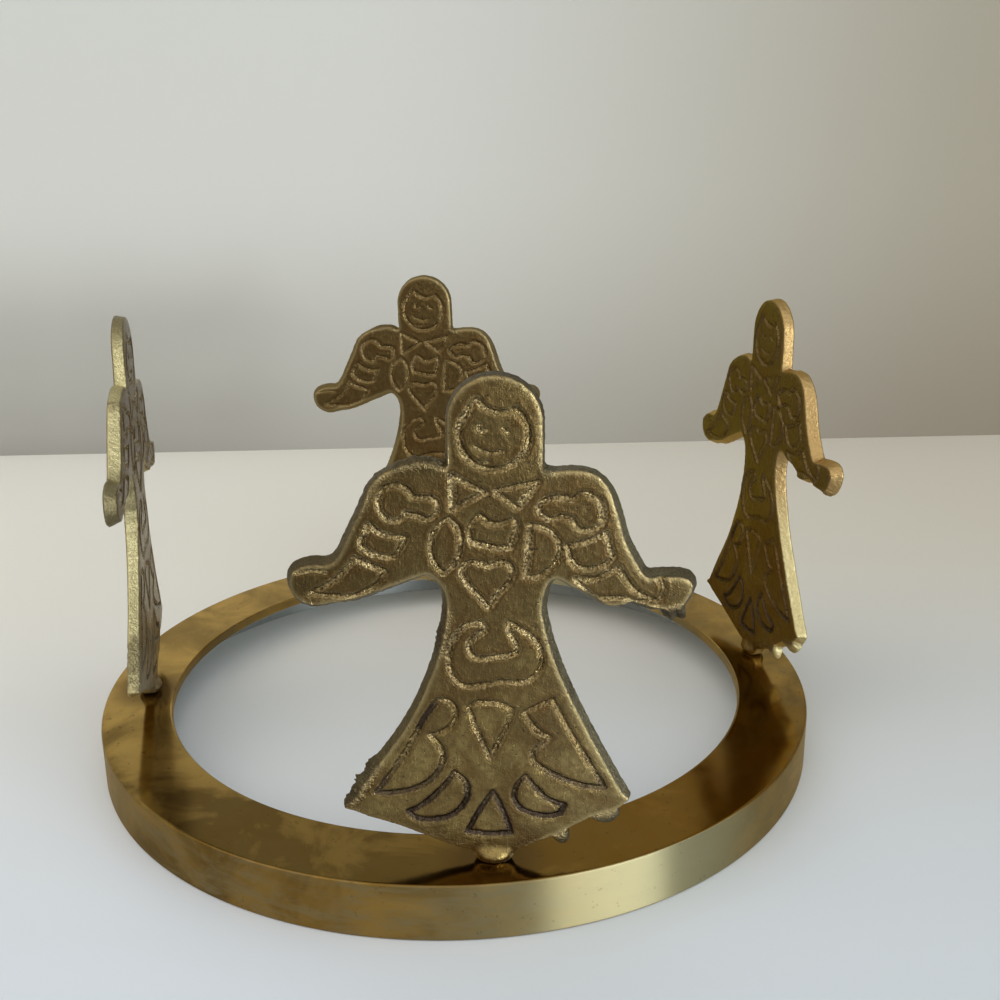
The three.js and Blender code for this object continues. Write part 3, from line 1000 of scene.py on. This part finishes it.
class FigureSettings(bpy.types.PropertyGroup):
    """Sizes and colours of the cast figures."""

    thickness: length("Thickness", "Thickness of the casting at the arms", 2.2)
    edge_round: length("Edge rounding", "Radius of the worn edges", 0.25)
    wall_slope: length("Wall slope", "How much wider a casting is at its back, on each side", 0.65)
    edge_fall: length("Edge fall", "How far a face falls towards its edge", 0.1)
    groove_width: length("Line width", "Width of the engraved lines", 1.25)
    groove_depth: length("Line depth", "Depth of the engraved lines", 0.44)
    colour: tint("Brass", "Rubbed metal", 156, 136, 85)
    # The aged colour is also the painted shade towards each casting's left.
    aged_and_shaded_colour: tint("Aged brass", "Darker clouds", 103, 86, 53)
    amber_colour: tint("Amber brass", "Warmer metal of the figures that have aged most", 104, 72, 34)
    warm_colour: tint("Warm brass", "Filed walls of those figures, above the skirt", 190, 146, 84)
    # Paler metal of a filed figure, and the painted light towards each casting's right.
    pale_and_lit_colour: tint("Worn brass", "Paler metal where a figure is handled", 168, 155, 122)
    grime_colour: tint("Grime", "Brown film beside the engraved lines", 100, 74, 42)
    bright_colour: tint("Bright brass", "Worn edges and the walls of the engraved lines", 214, 194, 142)
    wall_colour: tint("Filed brass", "Filed walls between the faces", 232, 219, 166)
    skin_colour: tint("Casting skin", "Dull walls between the faces, as cast", 94, 94, 83)
    # The grimy colour is also the painted shade on the walls towards each casting's left.
    grimy_and_shaded_colour: tint("Grimy skin", "The same walls where they are darkest", 66, 57, 42)
    line_colour: tint("Dirt", "Dark deposit in lines and pits", 58, 48, 44)


class ScrewSettings(bpy.types.PropertyGroup):
    """Sizes and colours of the screws."""

    radius: length("Radius", "Outer radius of the thread", 1.0)
    pitch: length("Pitch", "Height of one turn of the thread", 0.4)
    head_radius: length("Head radius", "Radius of the flat head", 2.8)
    head_height: length("Head height", "Height of the flat head", 1.5)
    slot_width: length("Slot width", "Width of the slot", 0.7)
    slot_depth: length("Slot depth", "Depth of the slot", 0.7)
    colour: tint("Brass", "Turned metal", 196, 168, 100)
    tarnish_colour: tint("Tarnish", "Duller metal", 150, 122, 66)


class StageSettings(bpy.types.PropertyGroup):
    """What the ring is shown on."""

    wall_distance: length("Wall distance", "How far behind the middle of the ring the wall stands", 189.5)
    wall_turn: bpy.props.FloatProperty(
        name="Wall turn", description="How far the wall is turned from facing the ring",
        default=math.radians(-4.65), subtype="ANGLE", unit="ROTATION")
    # The floor's and the wall's corner colours are painted light and shade: the floor is brighter at the left
    # and cooler in front, and the wall is darker low down and towards the right.
    floor_near_left: tint("Floor near left", "Pale floor in front, at the left", 228, 236, 248)
    floor_near_right: tint("Floor near right", "Pale floor in front, at the right", 211, 220, 229)
    floor_far_left: tint("Floor far left", "Pale floor at the wall, at the left", 236, 234, 227)
    floor_far_right: tint("Floor far right", "Pale floor at the wall, at the right", 210, 206, 196)
    floor_shade: tint("Floor shade", "Shade of whoever holds the camera, seen only in the brass", 100, 97, 88)
    wall_low_left: tint("Wall low left", "Wall near the floor, at the left", 157, 155, 149)
    wall_low_right: tint("Wall low right", "Wall near the floor, at the right", 127, 118, 104)
    wall_high_left: tint("Wall high left", "Wall high up, at the left", 195, 195, 191)
    wall_high_right: tint("Wall high right", "Wall high up, at the right", 146, 139, 123)


def settings_of(name):
    """One group of settings of the open scene."""
    return getattr(bpy.context.scene, name)


SPIGOT_GAP = 0.06
SPIGOT_TOP = 0.9
SPIGOT_LENGTH = 2.1
BORE_GAP = 0.02
BORE_TOP = 1.1
TURNED_CREASE = 40
RING_CREASE = 35
ROUND_SEGMENTS = 64
RING_SEGMENTS = 480
ROUNDING_STEPS = 6
SUPPORT = 0.06
SMALL_ROUND = 0.2
FILLET = 0.5


def plug(radius, top, bottom):
    """A turned pin, closed on its axis."""
    return joined([turned([(0, top), (radius, top), (radius, bottom), (0, bottom)], ROUND_SEGMENTS)])


def combined(piece, tool, operation):
    """Joins a tool mesh to a piece or cuts it away, and keeps the result as the piece's own mesh."""
    modifier = piece.modifiers.new("combine", "BOOLEAN")
    modifier.operation = operation
    modifier.solver = "MANIFOLD"
    modifier.object = tool
    graph = bpy.context.evaluated_depsgraph_get()
    made = bpy.data.meshes.new_from_object(piece.evaluated_get(graph), depsgraph=graph)
    piece.modifiers.remove(modifier)
    old, piece.data = piece.data, made
    name = old.name
    bpy.data.meshes.remove(old)
    made.name = name
    used = tool.data
    bpy.data.objects.remove(tool)
    bpy.data.meshes.remove(used)


class CANDLERING_OT_figures(bpy.types.Operator):
    """Make the four cast angels, each standing on its foot at its own turn and lean"""

    bl_idname = "candle_ring.figures"
    bl_label = "Make the angels"

    def execute(self, context):
        settings = settings_of("candle_figures")
        edge_round = settings.edge_round / MM
        plans = [figure_plan(edge_round, settings.wall_slope / MM), figure_plan(edge_round, 0)]
        material = cast_brass(settings)
        spigot_radius = settings_of("candle_ring").hole_radius / MM - SPIGOT_GAP
        bore_radius = settings_of("candle_screws").radius / MM + BORE_GAP
        spigot = ("pin", plug(spigot_radius, SPIGOT_TOP, -SPIGOT_LENGTH), "UNION")
        bore = ("bore", plug(bore_radius, BORE_TOP, -SPIGOT_LENGTH - 1), "DIFFERENCE")
        for name, figure in FIGURES.items():
            points, faces, masks = figure_surface(plans, settings, figure)
            piece = new_piece(f"cast_angel_{name}", stand_figure(points, figure), faces, material)
            masks["across"], masks["up"] = points[:, 0], points[:, 1]
            masks["amber"] = np.full(len(points), figure.amber)
            masks["filed"] = np.full(len(points), figure.filed)
            for label, values in masks.items():
                layer = piece.data.attributes.new(label, "FLOAT", "POINT")
                layer.data.foreach_set("value", values.astype(np.float32))
            for label, (shell, sides), operation in (spigot, bore):
                tool = new_piece(f"{label}_{name}", at_foot(shell, figure), sides, material, TURNED_CREASE)
                combined(piece, tool, operation)
            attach(piece, f"{name}_figure")
            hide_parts(f"angel_{name}")
        return {"FINISHED"}


def round_corner(centre, radius, first, last):
    """Points of a rounded corner of a profile, from one angle to another in degrees."""
    step = radius * math.radians(abs(last - first)) / ROUNDING_STEPS
    return arc(centre, radius, first, last, step).tolist()


def ring_deck(inner, outer, height, holes, up):
    """A flat ring between two circles with round holes in it, as a triangulation that faces up or down."""
    loops = [outer * circle(RING_SEGMENTS), inner * circle(RING_SEGMENTS), *holes]
    flat = np.concatenate(loops)
    faces = triangulated(flat, [len(loop) for loop in loops])
    owner = np.repeat(np.arange(len(loops)), [len(loop) for loop in loops])[faces]
    within_one_hole = (owner > 0).all(1) & (owner == owner[:, :1]).all(1)
    faces = faces[~within_one_hole]
    return np.column_stack([flat, np.full(len(flat), height)]), faces if up else faces[:, ::-1]


class CANDLERING_OT_ring(bpy.types.Operator):
    """Make the turned ring: a flat deck with a hole for each figure and a wall round its outside"""

    bl_idname = "candle_ring.ring"
    bl_label = "Make the ring"

    def execute(self, context):
        settings = settings_of("candle_ring")
        outer, inner = settings.outer_radius / MM, settings.inner_radius / MM
        height, edge = settings.height / MM, settings.edge_round / MM
        ceiling = height - settings.deck / MM
        inside = outer - settings.wall / MM
        hole = settings.hole_radius / MM
        wall = [(outer - edge - SUPPORT, height), *round_corner((outer - edge, height - edge), edge, 90, 0),
                (outer, height - edge - SUPPORT), (outer, edge + SUPPORT),
                *round_corner((outer - edge, edge), edge, 0, -90),
                *round_corner((inside + SMALL_ROUND, SMALL_ROUND), SMALL_ROUND, 270, 180),
                *round_corner((inside - FILLET, ceiling - FILLET), FILLET, 0, 90),
                (inside - FILLET - SUPPORT, ceiling)]
        rim = [(inner + SMALL_ROUND + SUPPORT, ceiling),
               *round_corner((inner + SMALL_ROUND, ceiling + SMALL_ROUND), SMALL_ROUND, 270, 180),
               *round_corner((inner + edge, height - edge), edge, 180, 90), (inner + edge + SUPPORT, height)]
        parts = [turned(wall, RING_SEGMENTS), turned(rim, RING_SEGMENTS)]
        mouths, feet = [], []
        for figure in FIGURES.values():
            points, faces = turned([(hole, ceiling - height), (hole, 0)], ROUND_SEGMENTS)
            points = at_foot(points, figure)
            parts.append((points, faces))
            feet.append(points[:ROUND_SEGMENTS, :2])
            mouths.append(points[-ROUND_SEGMENTS:, :2])
        parts.append(ring_deck(rim[-1][0], wall[0][0], height, mouths, True))
        parts.append(ring_deck(rim[0][0], wall[-1][0], ceiling, feet, False))
        points, faces = joined(parts)
        piece = new_piece("turned_ring", points, faces, polished_brass(settings), RING_CREASE)
        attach(piece, "ring")
        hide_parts("ring_base")
        return {"FINISHED"}


HEAD_TOP = -2.3
SCREW_TIP = 0.9
THREAD_DEPTH = 0.22
THREAD_ROWS = 10
THREAD_MARGIN = 0.3
THREAD_STARTS = (0.1, 0.5)
THREAD_ENDS = 0.2
TIP_SHARE = 0.55
HEAD_ROUND = 0.4
HEAD_BREAK = 0.1


def screw_surface(settings):
    """A screw, head down: a profile turned about the axis whose radius along the shank rises and falls with
    height and angle, so that its crest winds up as a thread."""
    head, radius, pitch = settings.head_radius / MM, settings.radius / MM, settings.pitch / MM
    face = HEAD_TOP - settings.head_height / MM
    low, high = HEAD_TOP + THREAD_MARGIN, SCREW_TIP - THREAD_MARGIN
    rise = np.linspace(low, high, round((high - low) / pitch * THREAD_ROWS))
    profile = [(0, SCREW_TIP), (TIP_SHARE * radius, SCREW_TIP)]
    profile += [(radius, height) for height in rise[::-1]]
    profile += [(radius, HEAD_TOP), (head - HEAD_BREAK, HEAD_TOP), (head, HEAD_TOP - HEAD_BREAK)]
    profile += round_corner((head - HEAD_ROUND, face + HEAD_ROUND), HEAD_ROUND, 0, -90)
    profile += [(0, face)]
    points, faces = turned(profile, ROUND_SEGMENTS)
    angle, up = np.arctan2(points[:, 1], points[:, 0]), points[:, 2]
    crest = np.abs((up / pitch - angle / (2 * math.pi)) % 1 - 0.5) * 2
    threaded = smoothstep(*THREAD_STARTS, up - HEAD_TOP) * (up < SCREW_TIP - THREAD_ENDS)
    points[:, :2] *= (1 - THREAD_DEPTH / radius * crest * threaded)[:, None]
    return joined([(points, faces)])


class CANDLERING_OT_screws(bpy.types.Operator):
    """Make the four slotted screws that hold the figures from beneath"""

    bl_idname = "candle_ring.screws"
    bl_label = "Make the screws"

    def execute(self, context):
        settings = settings_of("candle_screws")
        material = plain_brass(settings)
        points, faces = screw_surface(settings)
        reach, half = 1.5 * settings.head_radius / MM, settings.slot_width / MM / 2
        face = HEAD_TOP - settings.head_height / MM
        low, high = face - 1, face + settings.slot_depth / MM
        corners = np.array([(x, y, z) for z in (low, high) for y in (-half, half) for x in (-reach, reach)])
        sides = [(0, 2, 3, 1), (4, 5, 7, 6), (0, 1, 5, 4), (2, 6, 7, 3), (0, 4, 6, 2), (1, 3, 7, 5)]
        for name, figure in FIGURES.items():
            piece = new_piece(f"slotted_screw_{name}", at_foot(points, figure), faces, material, RING_CREASE)
            slot = new_piece(f"slot_{name}", at_foot(corners, figure), sides, material)
            combined(piece, slot, "DIFFERENCE")
            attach(piece, f"{name}_figure")
            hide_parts(f"screw_{name}")
        return {"FINISHED"}


# Camera: where it stands in millimetres, which way it looks in degrees, its lens and its small shift.
CAMERA_PLACE = (-14.0, -176.1, 95.6)
CAMERA_HEADING = 6.55
CAMERA_DOWN = 16.04
CAMERA_ROLL = -0.72
CAMERA_LENS = 39.17
CAMERA_SHIFT = (0.011, -0.028)

# Stage: half the width of the floor and the wall, and the window, in metres and watts.
STAGE_HALF = 2
WINDOW_PLACE = (1.63, -2.33, 0.17)
WINDOW_AIM = (0, 0, 0.03)
WINDOW_SIZE = (1.7, 0.32)
WINDOW_POWER = 50
WINDOW_COLOUR = (0.93, 0.98, 1)


def photo_camera():
    """The camera at the photograph's angle."""
    data = bpy.data.cameras.new("camera")
    data.lens = CAMERA_LENS
    data.sensor_width = 36
    data.shift_x, data.shift_y = CAMERA_SHIFT
    data.clip_start, data.clip_end = 0.01, 20
    camera = bpy.data.objects.new("camera", data)
    heading, down, roll = (math.radians(angle) for angle in (CAMERA_HEADING, CAMERA_DOWN, CAMERA_ROLL))
    look = Matrix.Rotation(-heading, 4, "Z") @ Matrix.Rotation(math.pi / 2 - down, 4, "X")
    place = Matrix.Translation([part * MM for part in CAMERA_PLACE])
    camera.matrix_world = place @ look @ Matrix.Rotation(roll, 4, "Z")
    bpy.context.scene.collection.objects.link(camera)
    bpy.context.scene.camera = camera


def stage_material(name):
    """An empty matt material for the stage."""
    material, tree, shader = new_material(name)
    shader.inputs["Metallic"].default_value = 0.0
    shader.inputs["Roughness"].default_value = 0.6
    shader.inputs["Specular IOR Level"].default_value = 0.25
    return material, tree, shader


def flat_sheet(name, corners, material):
    """A flat four-sided sheet for the stage, through corners in metres."""
    sheet = new_piece(name, np.array(corners) / MM, [(0, 1, 2, 3)], material)


def soft_lamp(name, place, aim, size, power, colour):
    """A rectangular soft lamp that shines from a place towards a point, in metres and watts."""
    data = bpy.data.lights.new(name, "AREA")
    data.shape = "RECTANGLE"
    data.size, data.size_y = size
    data.energy = power
    data.color = colour
    lamp = bpy.data.objects.new(name, data)
    direction = Vector(place) - Vector(aim)
    lamp.matrix_world = Matrix.Translation(place) @ direction.to_track_quat("Z", "Y").to_matrix().to_4x4()
    bpy.context.scene.collection.objects.link(lamp)


def room_light():
    """The room as light: warm and bright above, cooler to the right, and dim all round."""
    world = bpy.data.worlds.new("room")
    world.use_nodes = True
    tree = world.node_tree
    tree.nodes.clear()
    x, _, z = source(tree, "ShaderNodeTexCoord", "Generated").parts()
    rightward = x.rise(-0.7, 0.5)
    side = rightward.mix((0.2, 0.18, 0.15, 1), (0.22, 0.23, 0.24, 1))
    above = rightward.mix((1.5, 1.4, 1.24, 1), (0.82, 0.88, 0.92, 1))
    light = z.rise(0.02, 0.45).mix(side, above)
    shown = source(tree, "ShaderNodeLightPath", "Is Camera Ray").mix(light, (0.62, 0.61, 0.57, 1))
    background = add_node(tree, "ShaderNodeBackground", {"Color": shown})
    output = tree.nodes.new("ShaderNodeOutputWorld")
    tree.links.new(background.outputs[0], output.inputs["Surface"])
    return world


def painted(across, along, corners):
    """A colour eased between four corners: low left, low right, high left and high right."""
    return along.mix(across.mix(*corners[:2]), across.mix(*corners[2:]))


class CANDLERING_OT_stage(bpy.types.Operator):
    """Make the camera, the floor, the wall behind, the window and the light of the room"""

    bl_idname = "candle_ring.stage"
    bl_label = "Make the stage"

    def execute(self, context):
        settings = settings_of("candle_stage")
        photo_camera()
        floor_material, tree, shader = stage_material("pale_floor")
        x, y, _ = object_place(tree).parts()
        corners = (settings.floor_near_left, settings.floor_near_right,
                   settings.floor_far_left, settings.floor_far_right)
        # Painted light and shade on the floor: brighter at the left and cooler in front.
        colour = painted(x.rise(-0.14, 0.18), y.rise(-0.09, 0.09), corners)
        mirrored = source(tree, "ShaderNodeLightPath", "Is Glossy Ray")
        shade = y.fall(-0.11, -0.02) * x.fall(-0.08, -0.01) * mirrored * 0.8
        shade.mix(colour, settings.floor_shade).feed(shader, "Base Color")
        far = STAGE_HALF
        flat_sheet("floor", [(-far, -far, 0), (far, -far, 0), (far, far, 0), (-far, far, 0)], floor_material)
        wall_material, tree, shader = stage_material("pale_wall")
        x, _, z = object_place(tree).parts()
        corners = (settings.wall_low_left, settings.wall_low_right,
                   settings.wall_high_left, settings.wall_high_right)
        # Painted shade on the wall: darker low down and towards the right.
        painted(x.rise(-0.03, 0.23), z.rise(-0.015, 0.095), corners).feed(shader, "Base Color")
        back = source(tree, "ShaderNodeNewGeometry", "Backfacing")
        clear = source(tree, "ShaderNodeBsdfTransparent")
        seen = back.through("ShaderNodeMixShader", {0: back, 1: Field(shader.outputs[0]), 2: clear})
        seen.feed(tree.get_output_node("ALL"), "Surface")
        slant = far * math.tan(settings.wall_turn)
        left, right = settings.wall_distance - slant, settings.wall_distance + slant
        corners = [(-far, left, 0), (far, right, 0), (far, right, far), (-far, left, far)]
        flat_sheet("wall", corners, wall_material)
        soft_lamp("window", WINDOW_PLACE, WINDOW_AIM, WINDOW_SIZE, WINDOW_POWER, WINDOW_COLOUR)
        bpy.context.scene.world = room_light()
        bpy.context.scene.view_settings.view_transform = "Standard"
        return {"FINISHED"}


class VIEW3D_PT_candle_ring(bpy.types.Panel):
    """Lists what the candle ring is made of"""

    bl_label = "Candle ring"
    bl_space_type = "VIEW_3D"
    bl_region_type = "UI"
    bl_category = "Candle ring"

    def draw(self, context):
        for operator in OPERATORS:
            self.layout.operator(operator.bl_idname)
        for name, group in SETTINGS.items():
            box = self.layout.box()
            box.label(text=group.__doc__)
            for label in group.__annotations__:
                box.prop(getattr(context.scene, name), label)


SETTINGS = {
    "candle_ring": RingSettings,
    "candle_figures": FigureSettings,
    "candle_screws": ScrewSettings,
    "candle_stage": StageSettings,
}
OPERATORS = [CANDLERING_OT_stage, CANDLERING_OT_ring, CANDLERING_OT_figures, CANDLERING_OT_screws]


def register():
    """Registers the settings, the operators and the panel."""
    for name, group in SETTINGS.items():
        bpy.utils.register_class(group)
        setattr(bpy.types.Scene, name, bpy.props.PointerProperty(type=group))
    for made in (*OPERATORS, VIEW3D_PT_candle_ring):
        bpy.utils.register_class(made)


def unregister():
    """Takes them out again."""
    for made in (VIEW3D_PT_candle_ring, *reversed(OPERATORS)):
        bpy.utils.unregister_class(made)
    for name, group in SETTINGS.items():
        delattr(bpy.types.Scene, name)
        bpy.utils.unregister_class(group)


def main():
    """Makes the stage and every piece."""
    register()
    bpy.ops.candle_ring.stage()
    bpy.ops.candle_ring.ring()
    bpy.ops.candle_ring.figures()
    bpy.ops.candle_ring.screws()
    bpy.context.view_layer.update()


if __name__ == "__main__":
    main()
